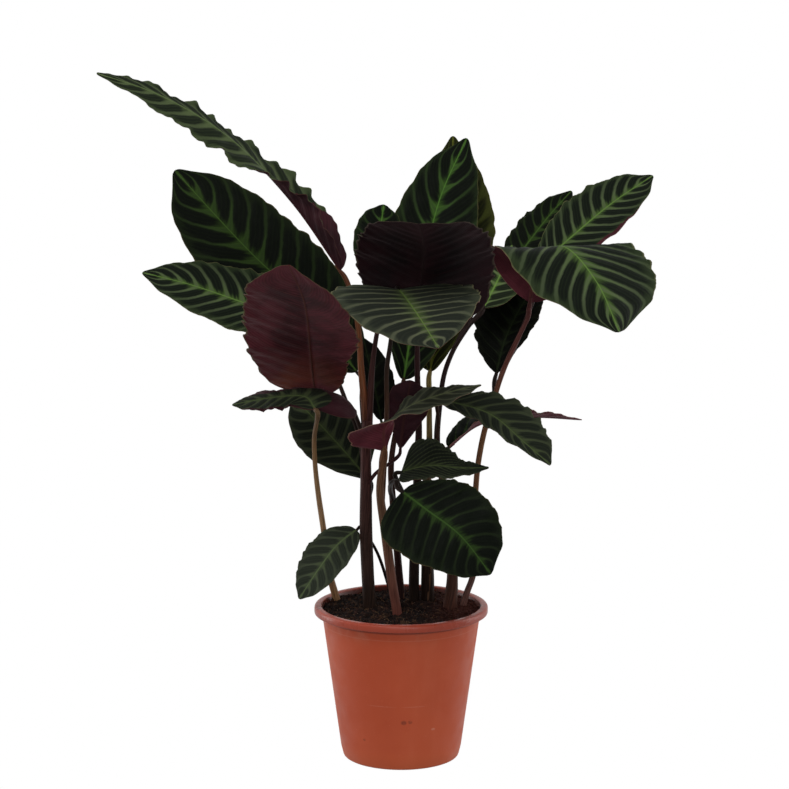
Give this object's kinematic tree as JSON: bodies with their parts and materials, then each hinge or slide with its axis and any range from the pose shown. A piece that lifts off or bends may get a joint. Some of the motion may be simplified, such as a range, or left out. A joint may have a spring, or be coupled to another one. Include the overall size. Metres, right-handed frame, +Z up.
{
  "type": "potted calathea",
  "caption": "Leafy calathea with large feather-marked, wine-backed blades on long stalks, rooted in peat in a tapered plastic nursery pot with a rolled lip.",
  "frame": {"origin": "centre of the flat underside of the pot, on the surface that it stands on", "axes": "+Z up along the pot's axis, +X to the right and -Y towards the viewer of the plant's show side"},
  "size_m": [0.6651, 0.4169, 0.8271],
  "materials": {
    "pot": "satin",
    "peat": "matte",
    "stalk": "satin",
    "leaf": "satin"
  },
  "bodies": {
    "root": {"pot": "pot", "soil": "peat", "stalk_far_left": "stalk", "stalk_thin": "stalk", "stalks_centre": "stalk", "stalks_centre_back": "stalk", "stalks_front": "stalk", "stalks_left": "stalk", "stalks_middle": "stalk", "stalks_right": "stalk", "stalks_right_inner": "stalk", "blade_back_left": "leaf", "blade_back_left_low": "leaf", "blade_behind_stalks": "leaf", "blade_centre_front": "leaf", "blade_dark_right": "leaf", "blade_level_left": "leaf", "blade_long_left": "leaf", "blade_low_centre": "leaf", "blade_low_left": "leaf", "blade_low_right": "leaf", "blade_mid_centre": "leaf", "blade_middle_narrow": "leaf", "blade_purple_centre": "leaf", "blade_purple_left": "leaf", "blade_right_drooping": "leaf", "blade_right_front": "leaf", "blade_right_inner": "leaf", "blade_right_level": "leaf", "blade_small_top": "leaf", "blade_top_back": "leaf", "blade_top_centre": "leaf", "blade_upper_right": "leaf", "blade_upper_right_back": "leaf", "blade_wide_left": "leaf"}
  },
  "joints": []
}
